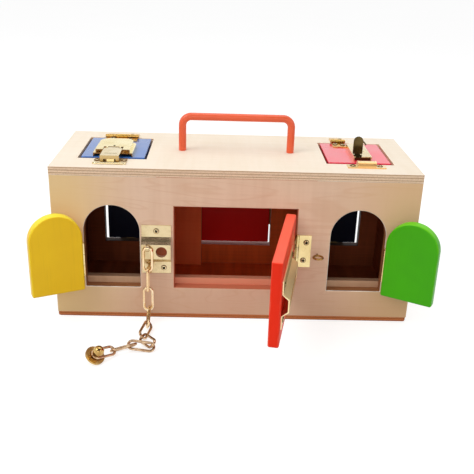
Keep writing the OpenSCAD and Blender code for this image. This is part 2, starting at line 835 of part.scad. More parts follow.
// Pressed base, open at the front and below, with the keyhole dome, its two wings and the hasp's pin
module latch_base() {
    ear_t = 2;
    ear_x = hasp_barrel_l / 2 + gap;
    wing_x = hasp_w / 2 + 2 * gap;
    wing_w = latch_w / 2 - latch_dome_in - wing_x;
    wing_l = latch_block_y - latch_front_y;
    keyhole_y = -18.6;
    keyhole_r = 1.4;
    color("gold") translate([latch_x, 0, case_h]) {
        difference() {
            linear_extrude(latch_h) latch_outline(0);
            translate([0, 0, -cut]) linear_extrude(latch_h - latch_sheet + cut) {
                latch_outline(latch_sheet);
                translate([latch_sheet - latch_w / 2, latch_front_y - cut])
                    square([latch_w - 2 * latch_sheet, 2 * cut]);
            }
        }
        difference() {
            translate([0, 0, latch_h]) linear_extrude(hasp_h - latch_h) intersection() {
                latch_outline(latch_dome_in);
                translate([-latch_w / 2, latch_block_y]) square([latch_w, latch_back_y - latch_block_y]);
            }
            translate([0, keyhole_y, latch_h + cut]) linear_extrude(hasp_h) {
                circle(keyhole_r);
                translate([-keyhole_r / 2, -2 * keyhole_r]) square([keyhole_r, 2 * keyhole_r]);
            }
        }
        for (k = [-1, 1]) {
            translate([k * (wing_x + wing_w / 2), 0, 0]) across(wing_w)
                translate([latch_front_y, hasp_h - latch_sheet]) square([wing_l, latch_sheet]);
            translate([k * (wing_x + wing_w - latch_sheet / 2), 0, 0]) across(latch_sheet)
                translate([latch_front_y, latch_h]) square([wing_l, hasp_h - latch_h]);
        }
        for (k = [-1, 1]) translate([k * (ear_x + ear_t / 2), 0, 0]) across(ear_t) {
            translate([hasp_pin_y, hasp_pin_z]) circle(hasp_barrel_r);
            translate([hasp_pin_y, latch_h]) square([latch_block_y - hasp_pin_y, 2 * hasp_barrel_r + gap]);
            translate([hasp_pin_y - hasp_pin_r, latch_h]) square([2 * hasp_pin_r, hasp_barrel_r]);
        }
        translate([-ear_x - ear_t / 2, hasp_pin_y, hasp_pin_z]) rotate([0, 90, 0])
            cylinder(r = hasp_pin_r, h = 2 * ear_x + ear_t);
    }
}

// Hinged hasp: an inverted tray that shuts over the keeper's post
module latch_hasp() {
    plate_back_y = hasp_pin_y - hasp_barrel_r - hasp_plate_gap;
    wall_low = latch_sheet + gap;
    slot_y = -51;
    slot_w = 14;
    slot_d = 1.4;
    mouth_h = 3;
    mouth_w = 13;
    wall_side = [
        [plate_back_y, hasp_h], [hasp_front_y, hasp_h], [hasp_front_y, wall_low],
        [latch_front_y - cut, wall_low], [latch_front_y - cut, latch_h + gap], [plate_back_y, latch_h + gap]
    ];
    color("gold") translate([latch_x, 0, case_h]) difference() {
        union() {
            translate([-hasp_barrel_l / 2, hasp_pin_y, hasp_pin_z]) rotate([0, 90, 0])
                cylinder(r = hasp_barrel_r, h = hasp_barrel_l);
            across(hasp_barrel_l) translate([plate_back_y, hasp_h - latch_sheet])
                square([hasp_pin_y - plate_back_y, latch_sheet]);
            across(hasp_w) translate([hasp_front_y, hasp_h - latch_sheet])
                square([plate_back_y - hasp_front_y, latch_sheet]);
            for (k = [-1, 1]) translate([k * (hasp_w - latch_sheet) / 2, 0, 0])
                across(latch_sheet) polygon(wall_side);
            across(hasp_w) translate([hasp_front_y, wall_low]) square([latch_sheet, hasp_h - wall_low]);
        }
        translate([-hasp_w, hasp_pin_y, hasp_pin_z]) rotate([0, 90, 0])
            cylinder(r = hasp_pin_r + pin_clear, h = 2 * hasp_w);
        translate([-slot_w / 2, slot_y, hasp_h - 2 * latch_sheet]) cube([slot_w, slot_d, 3 * latch_sheet]);
        translate([-mouth_w / 2, hasp_front_y - cut, 0])
            cube([mouth_w, latch_sheet + 2 * cut, wall_low + mouth_h]);
    }
}

function latch_keeper_screws() = [
    for (k = [-1, 1]) [latch_x + k * (keeper_w / 2 - keeper_screw_in), keeper_post_y]
];

// Keeper on the roof: a plate with a rolled lip and the post inside the hasp
module latch_keeper() {
    lip_r = 1.2;
    knob_r = 1.8;
    post_w = 8;
    post_d = 2;
    post_play = 0.8;
    post_h = hasp_h - latch_sheet - post_play;
    color("gold") difference() {
        translate([latch_x, 0, case_h]) {
            translate([-keeper_w / 2, keeper_front_y, 0])
                cube([keeper_w, keeper_back_y - keeper_front_y, latch_sheet]);
            translate([-keeper_w / 2, keeper_front_y, lip_r]) rotate([0, 90, 0])
                cylinder(r = lip_r, h = keeper_w);
            for (k = [-1, 1]) translate([k * (keeper_w / 2 - knob_r), keeper_front_y, knob_r]) sphere(knob_r);
            translate([-post_w / 2, keeper_post_y - post_d / 2, 0]) cube([post_w, post_d, post_h]);
        }
        for (p = latch_keeper_screws()) translate([p[0], p[1], case_h + latch_sheet])
            roof_screw_hole(latch_sheet);
    }
}

// Slide bolt

module bolt_housing() {
    inner_w = housing_w - 2 * housing_sheet;
    slot_w = tab_neck_w + 2 * gap;
    slot_back_y = tab_y + tab_t / 2 + gap;
    dimple = [4.5, -6.4];
    dimple_r = 1.2;
    color("gold") translate([bolt_x, 0, case_h]) difference() {
        translate([-housing_w / 2, housing_front_y, 0]) cube([housing_w, housing_l, housing_h]);
        translate([-inner_w / 2, housing_front_y - cut, -cut])
            cube([inner_w, housing_l - housing_sheet + cut, housing_h - housing_sheet + cut]);
        translate([tab_x - bolt_x - slot_w / 2, housing_front_y - cut, 0])
            cube([slot_w, slot_back_y - housing_front_y + cut, housing_h + cut]);
        translate([dimple[0], dimple[1], housing_h - housing_sheet / 2])
            cylinder(r = dimple_r, h = housing_h);
    }
}

// Flat bolt with its upright thumb tab and the lip that curls from the tab's right side
module slide_bolt() {
    bolt_free = 22;
    bolt_l = housing_l - bolt_free;
    neck_h = housing_h + 2 * gap;
    curl_r = 8;
    curl_l = 4;
    curl_side = 2;
    curl_drop = 7;
    curl_from = 20;
    curl_to = 90;
    color("goldenrod") translate([0, 0, case_h]) {
        translate([bolt_x - bolt_w / 2, bolt_nose_y, gap]) cube([bolt_w, bolt_l, bolt_t]);
        translate([tab_x, tab_y + tab_t / 2, 0]) rotate([90, 0, 0]) linear_extrude(tab_t) {
            translate([-tab_neck_w / 2, gap]) square([tab_neck_w, neck_h]);
            translate([-tab_w / 2, neck_h]) square([tab_w, tab_h - tab_w / 2]);
            translate([0, neck_h + tab_h - tab_w / 2]) circle(tab_w / 2);
        }
        translate([tab_x + curl_side, tab_y + curl_l, neck_h + tab_h - tab_w / 2 - curl_drop])
            rotate([90, 0, 0]) rotate([0, 0, curl_from]) rotate_extrude(angle = curl_to - curl_from)
                translate([curl_r - tab_t, 0]) square([tab_t, curl_l]);
    }
}

function bolt_keeper_screws() = [
    for (k = [-1, 1]) [bolt_x + k * (bolt_keeper_w / 2 - bolt_keeper_screw_in), bolt_keeper_y]
];

// Keeper on the roof: two ears and a rolled bridge, open towards the bolt
module bolt_keeper() {
    bridge_w = housing_w;
    front_y = bolt_keeper_y - bolt_keeper_r;
    ear_d = 11;
    color("gold") difference() {
        translate([bolt_x, 0, case_h]) {
            for (k = [-1, 1])
                translate([k * (bolt_keeper_w + bridge_w) / 4 - (bolt_keeper_w - bridge_w) / 4, front_y, 0])
                    cube([(bolt_keeper_w - bridge_w) / 2, ear_d, housing_sheet]);
            across(bridge_w) translate([bolt_keeper_y, 0]) difference() {
                circle(bolt_keeper_r);
                circle(bolt_keeper_r - housing_sheet);
                translate([-2 * bolt_keeper_r, -4 * bolt_keeper_r]) square(4 * bolt_keeper_r);
                square(2 * bolt_keeper_r);
            }
            for (k = [-1, 1]) translate([k * (bridge_w - housing_sheet) / 2, 0, 0]) across(housing_sheet)
                translate([bolt_keeper_y, 0]) difference() {
                    circle(bolt_keeper_r);
                    translate([-2 * bolt_keeper_r, -4 * bolt_keeper_r]) square(4 * bolt_keeper_r);
                }
        }
        for (p = bolt_keeper_screws()) translate([p[0], p[1], case_h + housing_sheet])
            roof_screw_hole(housing_sheet);
    }
}

// Turn buttons on the back

// Button about its screw, long side along X, outer face towards +Y
module turn_button() {
    translate([0, back_y + gap + button_t, 0]) rotate([90, 0, 0]) linear_extrude(button_t) difference() {
        union() {
            square([button_l - button_w, button_w], center = true);
            for (s = [-1, 1]) translate([s * (button_l - button_w) / 2, 0]) circle(button_w / 2);
        }
        circle(button_screw_r + pin_clear);
    }
}

module left_turn_button() { color("gold") translate([-arch_x, 0, left_button_z]) turn_button(); }
module right_turn_button() { color("gold") translate([arch_x, 0, left_button_z]) turn_button(); }
module middle_turn_button() {
    color("gold") translate([mid_button_x, 0, back_mid_z]) rotate([0, 90, 0]) turn_button();
}

module turn_button_screws() {
    head_y = back_y + button_t + 2 * gap;
    head_r = 3.6;
    head_h = 1.6;
    grip = 9;
    places = [[-arch_x, left_button_z], [arch_x, left_button_z], [mid_button_x, back_mid_z]];
    color("goldenrod") for (p = places) translate([p[0], head_y, p[1]]) {
        rotate([90, 0, 0]) cylinder(r = button_screw_r, h = button_t + 2 * gap + grip);
        rotate([-90, 0, 0]) cylinder(r1 = head_r, r2 = head_r * 0.65, h = head_h);
    }
}

bottom_panel();
front_panel();
back_panel();
left_side_panel();
right_side_panel();
top_panel();
left_divider();
right_divider();
front_stop_rails();
back_stop_strips();
roof_stop_strips();
carry_handle();
handle_screws();
yellow_door();
red_door();
green_door();
blue_roof_door();
pink_roof_door();
left_back_door();
middle_back_door();
right_back_door();
yellow_hinge_leaf();
red_hinge_leaf();
green_hinge_leaf();
blue_hinge_leaf();
pink_hinge_leaf();
left_back_hinge_leaf();
middle_back_hinge_leaf();
right_back_hinge_leaf();
case_hinge_leaves();
hinge_pins();
case_screws();
chain_anchor_plate();
chain_track();
chain_link(1);  // chain_link_1
chain_link(2);  // chain_link_2
chain_link(3);  // chain_link_3
chain_link(4);  // chain_link_4
chain_link(5);  // chain_link_5
chain_link(6);  // chain_link_6
chain_link(7);  // chain_link_7
chain_link(8);  // chain_link_8
chain_link(9);  // chain_link_9
chain_button();
screw_eye();
hook_pivot();
door_hook();
latch_base();
latch_hasp();
latch_keeper();
bolt_housing();
slide_bolt();
bolt_keeper();
left_turn_button();
middle_turn_button();
right_turn_button();
turn_button_screws();
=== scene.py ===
"""Looks of the wooden lock box: materials, screw heads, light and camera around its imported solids."""

import json
import math

import bmesh
import bpy
import numpy as np
from mathutils import Matrix, Vector


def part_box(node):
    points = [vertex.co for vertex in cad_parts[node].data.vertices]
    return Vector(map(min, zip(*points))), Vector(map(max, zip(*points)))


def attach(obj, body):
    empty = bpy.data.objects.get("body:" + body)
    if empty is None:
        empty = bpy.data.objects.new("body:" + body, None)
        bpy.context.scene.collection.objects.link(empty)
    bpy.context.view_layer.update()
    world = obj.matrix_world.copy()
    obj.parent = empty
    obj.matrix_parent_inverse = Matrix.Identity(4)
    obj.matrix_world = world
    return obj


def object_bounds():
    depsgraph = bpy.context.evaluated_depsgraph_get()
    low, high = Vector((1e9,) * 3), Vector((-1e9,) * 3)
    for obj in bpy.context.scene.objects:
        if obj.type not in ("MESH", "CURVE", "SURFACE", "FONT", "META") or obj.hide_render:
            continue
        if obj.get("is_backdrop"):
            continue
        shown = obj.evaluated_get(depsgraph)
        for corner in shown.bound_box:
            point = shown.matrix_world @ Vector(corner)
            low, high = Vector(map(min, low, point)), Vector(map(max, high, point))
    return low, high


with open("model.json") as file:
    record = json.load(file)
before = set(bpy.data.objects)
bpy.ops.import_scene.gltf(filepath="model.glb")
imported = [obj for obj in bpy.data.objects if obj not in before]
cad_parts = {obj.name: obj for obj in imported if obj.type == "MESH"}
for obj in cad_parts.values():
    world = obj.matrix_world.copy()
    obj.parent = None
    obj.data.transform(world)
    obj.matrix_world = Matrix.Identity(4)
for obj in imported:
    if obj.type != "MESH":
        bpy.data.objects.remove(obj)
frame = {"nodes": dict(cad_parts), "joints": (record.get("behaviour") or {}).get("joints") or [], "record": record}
cad_low, cad_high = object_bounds()
nodes = frame["nodes"]
joints = {joint["name"]: joint for joint in frame["joints"]}
frame_slot = {part["node"]: part["material_slot"] for part in frame["record"]["subparts"]}
scene = bpy.context.scene
MM = 0.001
X, Y, Z = 0, 1, 2
UP, FORE, AFT = (0.0, 0.0, 1.0), (0.0, -1.0, 0.0), (0.0, 1.0, 0.0)


def middle(node, axis):
    """Middle of a node's box along an axis."""
    low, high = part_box(node)
    return (low[axis] + high[axis]) / 2


# Places in the frame: the middle of a divider, the end of the long panels, the inside of the back wall, and
# a height just under the roof
DIVIDER_X = middle("right_divider", X)
PANEL_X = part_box("front_panel")[1][X]
WALL_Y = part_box("back_panel")[0][Y]
ROOF_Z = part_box("top_panel")[0][Z] - 3 * MM

NOISE_ROUGHNESS = 0.55
# Sockets of a mix node that its colours use
MIX_FACTOR, MIX_A, MIX_B, MIX_RESULT = 0, 6, 7, 2


class Tree:
    """A node tree, with one short method for each kind of node that both the finishes and the sky use."""

    def __init__(self, tree):
        self.tree = tree
        self.tree.nodes.clear()

    def new(self, kind):
        return self.tree.nodes.new("ShaderNode" + kind)

    def put(self, value, socket):
        if isinstance(value, bpy.types.NodeSocket):
            self.tree.links.new(value, socket)
        elif isinstance(value, tuple) and len(value) == 3 and len(socket.default_value) == 4:
            socket.default_value = (*value, 1.0)
        else:
            socket.default_value = value

    def split(self, vector):
        node = self.new("SeparateXYZ")
        self.put(vector, node.inputs[0])
        return node.outputs

    def math(self, operation, a, b=0.0, clamp=False):
        node = self.new("Math")
        node.operation = operation
        node.use_clamp = clamp
        self.put(a, node.inputs[0])
        self.put(b, node.inputs[1])
        return node.outputs[0]

    def plus(self, a, b):
        return self.math("ADD", a, b)

    def minus(self, a, b):
        return self.math("SUBTRACT", a, b)

    def times(self, a, b):
        return self.math("MULTIPLY", a, b)

    def span(self, value, low, high, to_low=0.0, to_high=1.0, smooth=True):
        """Maps low to high onto to_low to to_high, and holds the ends beyond them."""
        node = self.new("MapRange")
        node.interpolation_type = "SMOOTHSTEP" if smooth else "LINEAR"
        self.put(value, node.inputs["Value"])
        self.put(low, node.inputs["From Min"])
        self.put(high, node.inputs["From Max"])
        self.put(to_low, node.inputs["To Min"])
        self.put(to_high, node.inputs["To Max"])
        return node.outputs[0]

    def seen(self):
        """1 for the rays of the camera, of mirrors and of glass, and 0 for those that only carry light."""
        rays = self.new("LightPath").outputs
        seen = self.plus(rays["Is Camera Ray"], rays["Is Glossy Ray"])
        return self.math("ADD", seen, rays["Is Transmission Ray"], clamp=True)


class Graph(Tree):
    """A material's node tree around one principled shader."""

    def __init__(self, name):
        self.material = bpy.data.materials.new(name)
        self.material.use_nodes = True
        super().__init__(self.material.node_tree)
        self.shader = self.new("BsdfPrincipled")
        self.put(self.shader.outputs[0], self.new("OutputMaterial").inputs[0])
        place = self.new("TexCoord")
        self.place = place.outputs["Object"]
        self.normal = self.split(place.outputs["Normal"])
        self.at = self.split(self.place)

    def size(self, value):
        return self.math("ABSOLUTE", value)

    def wave(self, value):
        """0 in the middle of each whole step of a value, and 0.5 at its ends."""
        return self.size(self.minus(self.math("FRACT", value), 0.5))

    def stretch(self, scale, turn=(0.0, 0.0, 0.0)):
        node = self.new("Mapping")
        self.put(self.place, node.inputs["Vector"])
        self.put(scale, node.inputs["Scale"])
        self.put(turn, node.inputs["Rotation"])
        return node.outputs[0]

    def noise(self, vector, scale=1.0, detail=3.0, distortion=0.0):
        node = self.new("TexNoise")
        self.put(vector, node.inputs["Vector"])
        self.put(scale, node.inputs["Scale"])
        self.put(detail, node.inputs["Detail"])
        self.put(NOISE_ROUGHNESS, node.inputs["Roughness"])
        self.put(distortion, node.inputs["Distortion"])
        return node.outputs[0]

    def mix(self, factor, a, b):
        node = self.new("Mix")
        node.data_type = "RGBA"
        self.put(factor, node.inputs[MIX_FACTOR])
        self.put(a, node.inputs[MIX_A])
        self.put(b, node.inputs[MIX_B])
        return node.outputs[MIX_RESULT]

    def bump(self, height, depth, strength):
        node = self.new("Bump")
        self.put(strength, node.inputs["Strength"])
        self.put(depth, node.inputs["Distance"])
        self.put(height, node.inputs["Height"])
        return node.outputs[0]

    def finish(self, **inputs):
        for name, value in inputs.items():
            self.put(value, self.shader.inputs[name.replace("_", " ").title().replace("Ior", "IOR")])
        return self.material


def along(axis, long_scale, cross_scale):
    """Texture scales per axis: one along the given axis and another across it."""
    return tuple(long_scale if i == axis else cross_scale for i in range(3))


def scaled(colour, factor, lift=0.0):
    """A colour made darker or lighter."""
    return tuple(min(1.0, factor * c + lift) for c in colour)


# Share of a colour that is left in pores, end grain and dull spots
DEEP = 0.6

# Plywood: the ramps at which the outer compartments and the cut ends of the long panels begin
OUTER_ROOM = (DIVIDER_X - 1 * MM, DIVIDER_X + 1 * MM)
PANEL_END = (PANEL_X - 10 * MM, PANEL_X - 5 * MM)
TONE_BAND = (0.36, 0.64)
FIBRE_SHARE, FLAME_SHARE, RIPPLE_SHARE = 0.25, 0.4, 0.35
PORE_TINT, PORE_DEPTH, ENDGRAIN_DEPTH = 0.12, 0.6, 0.4
RING_COUNT, RING_TILT, RING_WIDTH, RING_TINT = 9.0, 0.12, 0.16, 0.3
PLY_SWAY, GLUE_TINT = 0.06, 0.9
# Painted shade on the inner faces: dark brown in the outer rooms and red bounce light in the middle room
SIDE_ROOM_SHADE = (0.41, 0.10, 0.036)
MIDDLE_ROOM_BOUNCE = (0.80, 0.14, 0.03)
SHADE_STREAK = (0.03, 0.01, 0.005)


def veneer_noises(g, thick, grain):
    """Fibre, pores and broad tone of a veneer, from noise that is drawn out along the grain or across it."""
    across = X + Y + Z - grain - thick
    fibre = g.noise(g.stretch(along(grain, 7.0, 420.0)), detail=4.0)
    flame = g.noise(g.stretch(along(across, 4.0, 26.0)), distortion=0.5)
    ripple = g.noise(g.stretch(along(across, 10.0, 130.0)), detail=2.0)
    pore = g.span(g.noise(g.stretch(along(grain, 60.0, 1300.0)), detail=1.0), 0.62, 0.75)
    tone = g.plus(g.times(fibre, FIBRE_SHARE), g.times(flame, FLAME_SHARE))
    return fibre, pore, g.plus(tone, g.times(ripple, RIPPLE_SHARE))


def veneer_colour(g, look, grain, pore, tone):
    """Broad face: two tones of wood, clouds, pores, growth rings and the tints of its zones."""
    cloud = g.noise(g.place, scale=6.0, detail=2.0)
    veneer = g.mix(g.span(tone, *TONE_BAND), look["light"], look["dark"])
    veneer = g.mix(g.span(cloud, 0.4, 0.7, to_high=0.45), veneer, look["cloud"])
    veneer = g.mix(g.times(pore, PORE_TINT), veneer, scaled(look["dark"], DEEP))
    if "figure" in look:
        waves = g.stretch(along(grain, 3.0, 22.0), turn=(0.0, RING_TILT, 0.0))
        warp = g.noise(waves, detail=2.0, distortion=1.2)
        ring = g.wave(g.times(warp, RING_COUNT))
        veneer = g.mix(g.span(ring, 0.0, RING_WIDTH, RING_TINT, 0.0), veneer, look["figure"])
    for axis, start, end, amount, tint in look.get("zones", ()):
        veneer = g.mix(g.span(g.at[axis], start, end, to_high=amount), veneer, tint)
    return veneer


def cut_colour(g, look, thick, low, high, endgrain):
    """Cut edge: stacked plies between wavering glue lines, with pale plies at the panel's ends."""
    light, dark = look["cut_light"], look["cut_dark"]
    depth = g.math("DIVIDE", g.minus(g.at[thick], low), high - low)
    sway = g.times(g.minus(g.noise(g.place, scale=11.0, detail=1.0), 0.5), PLY_SWAY)
    layer = g.plus(g.times(g.plus(depth, sway), look["pairs"]), look["first"])
    glue = g.times(g.span(g.wave(layer), look["line"] * 0.5, look["line"], 1.0, 0.0), GLUE_TINT)
    ply = g.mix(glue, light, dark)
    if "ends" in look:
        ply = g.mix(g.span(g.size(g.at[X]), *PANEL_END), ply, g.mix(glue, *look["ends"]))
    patch = g.noise(g.stretch(along(thick, 220.0, 24.0)))
    between = tuple(0.5 * (a + b) for a, b in zip(light, dark))
    ply = g.mix(g.span(endgrain, 0.4, 0.75, to_high=0.3), ply, scaled(dark, DEEP))
    return g.mix(g.span(patch, 0.52, 0.72, to_high=0.45), ply, between)


def plywood(name, thick, low, high, grain, look, shade_side):
    """Veneer on the two broad faces and stacked plies on the cut edges.

    The last argument gives the way that the inner face looks along the thickness, and that face gets painted
    shade, with painted red bounce light in the middle room.
    """
    g = Graph(name)
    fibre, pore, tone = veneer_noises(g, thick, grain)
    endgrain = g.noise(g.place, scale=900.0, detail=2.0)
    veneer = veneer_colour(g, look, grain, pore, tone)
    ply = cut_colour(g, look, thick, low, high, endgrain)
    rim_colour = look["rim_colour"]
    outer = g.span(g.size(g.at[X]), *OUTER_ROOM)
    # Painted red bounce light in the middle room
    if "middle" in look:
        veneer = g.mix(outer, look["middle"], veneer)
    if "cut_middle" in look:
        ply = g.mix(outer, look["cut_middle"], ply)
        rim_colour = g.mix(outer, look["cut_middle"], rim_colour)
    # Painted shade on the inner face, with painted red bounce light in the middle room
    if shade_side:
        inward = g.span(g.times(g.normal[thick], shade_side), 0.4, 0.8)
        inner_shade = g.mix(outer, MIDDLE_ROOM_BOUNCE, SIDE_ROOM_SHADE)
        inner_shade = g.mix(g.span(tone, *TONE_BAND, to_high=0.3), inner_shade, SHADE_STREAK)
        veneer = g.mix(inward, veneer, inner_shade)
    # Painted shade in round spots on the wall
    for spot, reach, tint in look.get("spots", ()):
        aside, above = (g.math("POWER", g.minus(g.at[axis], spot[axis]), 2.0) for axis in (X, Z))
        away = g.math("SQRT", g.plus(aside, above))
        veneer = g.mix(g.span(away, reach * 0.9, reach, 1.0, 0.0), veneer, tint)

    # Painted highlight on the rounded edges, broken up by noise; kept off the inner side of the walls
    flat = g.size(g.normal[thick])
    face = g.span(flat, 0.8, 0.97)
    rim = g.times(g.span(flat, 0.15, 0.45), g.minus(1.0, g.span(flat, 0.9, 0.985)))
    if shade_side:
        rim = g.times(rim, g.span(g.times(g.normal[thick], -shade_side), 0.05, 0.2))
    rim_breakup = g.span(g.noise(g.place, scale=70.0), 0.3, 0.7, 0.6, 1.0)
    colour = g.mix(face, ply, veneer)
    colour = g.mix(g.times(g.times(rim, rim_breakup), look["rim"]), colour, rim_colour)
    height = g.plus(g.times(fibre, face), g.times(endgrain, ENDGRAIN_DEPTH))
    height = g.minus(height, g.times(pore, PORE_DEPTH))
    return g.finish(base_color=colour, roughness=g.span(fibre, 0.3, 0.7, 0.44, 0.6),
                    normal=g.bump(height, depth=0.0001, strength=0.4), specular_ior_level=0.1)


def paint(name, base, thick, grain, gloss, coat, highlight=None):
    """Lacquered wood: the grain shows faintly through the paint, and the rounded edges get a painted highlight.

    thick is the axis of the thickness, or a function that gives the normal's part along it. The last
    argument is the colour of the painted highlight on the edges and on what looks up.
    """
    g = Graph(name)
    fibre = g.noise(g.stretch(along(grain, 14.0, 520.0)))
    cloud = g.noise(g.place, scale=16.0)
    peel = g.noise(g.place, scale=420.0, detail=1.0)
    colour = g.mix(g.span(cloud, 0.3, 0.7), scaled(base, 0.93), scaled(base, 1.05))
    colour = g.mix(g.span(fibre, 0.52, 0.72, to_high=0.14), colour, scaled(base, 0.7))
    edge = thick(g) if callable(thick) else g.size(g.normal[thick])
    # Painted highlight on the rounded edges, broken up by noise
    rim = g.times(g.span(edge, 0.12, 0.45), g.minus(1.0, g.span(edge, 0.75, 0.97)))
    edge_breakup = g.span(g.noise(g.place, scale=60.0, detail=4.0), 0.42, 0.66, 0.15, 0.6)
    colour = g.mix(g.times(rim, edge_breakup), colour, highlight or scaled(base, 1.12, lift=0.03))
    if highlight:
        # Painted highlight on what looks up
        colour = g.mix(g.span(g.normal[Z], 0.3, 0.9, to_high=0.85), colour, highlight)
    height = g.plus(fibre, g.times(peel, 0.6))
    return g.finish(base_color=colour, roughness=g.span(cloud, 0.3, 0.7, gloss - 0.05, gloss + 0.1),
                    normal=g.bump(height, depth=0.00008, strength=0.35), coat_weight=coat,
                    coat_roughness=0.12, specular_ior_level=0.5 if coat else 0.18)


SPOT_TINT, SPOT_DULL = 0.12, 0.06
SCRATCH_TURN = (0.3, 0.5, 0.6)
HIGH_RAMP = 2 * MM
PIT_SHADE = (0.02, 0.012, 0.006)


def metal(name, base, shade, rough=0.2, scratch=1.0, grain=45.0, fore=None, high=None, pit=None,
          ridge=None, streak=None):
    """Pressed sheet or drawn wire: drifting tint, fine scratches and a few dull spots.

    fore paints shade and reflection on what faces the front, high tints what is above a height, pit paints
    shade inside a hole, ridge paints a highlight on a fold and shade on the face to its right, and streak paints
    bands of reflection on the slopes that face up.
    """
    g = Graph(name)
    drift = g.noise(g.place, scale=grain, detail=4.0)
    spots = g.span(g.noise(g.place, scale=260.0), 0.6, 0.72)
    lines = g.noise(g.stretch(along(X, 2600.0, 240.0), turn=SCRATCH_TURN), detail=2.0)
    colour = g.mix(g.span(drift, 0.3, 0.72), base, shade)
    colour = g.mix(g.times(spots, SPOT_TINT), colour, scaled(shade, DEEP))
    # Painted shade and reflection on what faces the front
    if fore:
        colour = g.mix(g.span(g.normal[Y], -0.2, -0.7, to_high=0.9), colour, fore)
    # Painted highlight on the fold and painted shade on the face beyond it
    if ridge:
        fold, beyond = ridge
        colour = g.mix(g.span(g.normal[X], 0.58, 0.68), colour, fold)
        colour = g.mix(g.span(g.normal[X], 0.9, 0.97), colour, beyond)
    # Painted bands of reflection on the slopes that face up
    if streak:
        band = g.span(g.noise(g.stretch(along(Z, 700.0, 4.0)), detail=2.0), 0.36, 0.62)
        slope = g.times(g.span(g.normal[Z], 0.3, 0.5), g.span(g.normal[Z], 0.8, 0.9, 1.0, 0.0))
        colour = g.mix(g.times(band, slope), colour, streak)
    if high:
        start, tint = high
        colour = g.mix(g.span(g.at[Z], start, start + HIGH_RAMP), colour, tint)
    # Painted shade inside the hole
    if pit:
        *sides, top = pit
        inside = g.math("LESS_THAN", g.at[Z], top)
        for axis, (low, end) in zip((X, Y), sides):
            inside = g.times(inside, g.math("GREATER_THAN", g.at[axis], low))
            inside = g.times(inside, g.math("LESS_THAN", g.at[axis], end))
        colour = g.mix(inside, colour, PIT_SHADE)
    dull = g.plus(g.span(drift, 0.3, 0.7, rough - 0.04, rough + 0.06), g.times(spots, SPOT_DULL))
    return g.finish(base_color=colour, metallic=1.0, roughness=dull,
                    normal=g.bump(lines, depth=0.00003, strength=0.25 * scratch))


def swung(door):
    """Way that the outer face of an open front door looks. Its joint's lower limit is the shut door."""
    joint = joints[door + "_swing"]
    turn = math.radians(-joint["range_deg"][0] * joint["axis"][Z])
    return (math.sin(turn), -math.cos(turn), 0.0)


def swung_normal(door):
    """Part of the normal along the thickness of an open front door."""
    across, deep, _ = swung(door)

    def component(g):
        return g.size(g.plus(g.times(g.normal[X], -across), g.times(g.normal[Y], -deep)))

    return component


def dress(node, material):
    mesh = nodes[node].data
    mesh.materials.clear()
    mesh.materials.append(material)


def soften(node, width, segments=3):
    """Rounds a node's sharp edges, by a width in millimetres, without touching its mesh."""
    obj = nodes[node]
    weld = obj.modifiers.new("weld", "WELD")
    weld.merge_threshold = 0.004 * MM
    flat = obj.modifiers.new("flat", "DECIMATE")
    flat.decimate_type = "DISSOLVE"
    flat.angle_limit = math.radians(0.4)
    bevel = obj.modifiers.new("edge", "BEVEL")
    bevel.width = width * MM
    bevel.segments = segments
    bevel.limit_method = "ANGLE"
    bevel.angle_limit = math.radians(38)
    for polygon in obj.data.polygons:
        polygon.use_smooth = True
    even = obj.modifiers.new("even", "WEIGHTED_NORMAL")
    even.weight = 100
    even.keep_sharp = False


# Looks of the plywood. pairs, first and line are the count, the phase and the width of the glue lines.
# rim and rim_colour are the strength and colour of a painted highlight on the rounded edges.
# A zone is an axis, the two ends of its ramp, an amount and a tint. A spot is a place on the wall, a radius
# and a tint of painted shade. The front wall's one is painted shade behind the hole in the chain's plate.
PLATE_HOLE_SHIFT, PLATE_SHADE_RADIUS = 6 * MM, 8.5 * MM
plate_hole = (middle("chain_anchor_plate", X) + PLATE_HOLE_SHIFT, 0.0, middle("chain_anchor_plate", Z))
FRONT = dict(
    light=(0.86, 0.61, 0.44), dark=(0.80, 0.545, 0.38), cloud=(0.85, 0.57, 0.42),
    figure=(0.72, 0.42, 0.25), pairs=3.0, first=0.2, line=0.2,
    # cut_light and cut_dark are painted shade on the cut edges in the windows, cut_middle painted red bounce light
    cut_light=(0.40, 0.17, 0.07), cut_dark=(0.20, 0.07, 0.024), cut_middle=(0.60, 0.19, 0.10),
    ends=((0.86, 0.63, 0.43), (0.44, 0.24, 0.125)), rim=1.0, rim_colour=(1.0, 0.92, 0.80),
    zones=((Z, 0.08, 0.0, 0.6, (0.76, 0.46, 0.29)), (X, -0.10, -0.19, 0.85, (0.85, 0.61, 0.30)),
           (X, 0.09, 0.19, 0.7, (0.79, 0.50, 0.25))),
    spots=((plate_hole, PLATE_SHADE_RADIUS, (0.50, 0.15, 0.07)),))
SIDE = dict(FRONT, zones=FRONT["zones"][:1], spots=())
# Back wall: cut edges painted shade in the gaps around the back doors, painted pink light in the middle gap
BACK = dict(FRONT, cut_light=(0.13, 0.065, 0.05), cut_dark=(0.09, 0.045, 0.03),
            cut_middle=(0.62, 0.38, 0.34), rim=0.0, spots=())
TOP = dict(
    light=(0.885, 0.78, 0.645), dark=(0.85, 0.735, 0.585), cloud=(0.89, 0.785, 0.66),
    pairs=3.0, first=0.75, line=0.17, cut_light=(0.90, 0.68, 0.48), cut_dark=(0.46, 0.25, 0.13),
    rim=0.5, rim_colour=(0.93, 0.82, 0.68))
BASE = dict(
    light=(0.62, 0.38, 0.22), dark=(0.52, 0.30, 0.16), cloud=(0.56, 0.33, 0.19),
    pairs=2.0, first=0.2, line=0.22, cut_light=(0.65, 0.22, 0.08), cut_dark=(0.34, 0.10, 0.03),
    rim=0.3, rim_colour=(0.74, 0.46, 0.30))
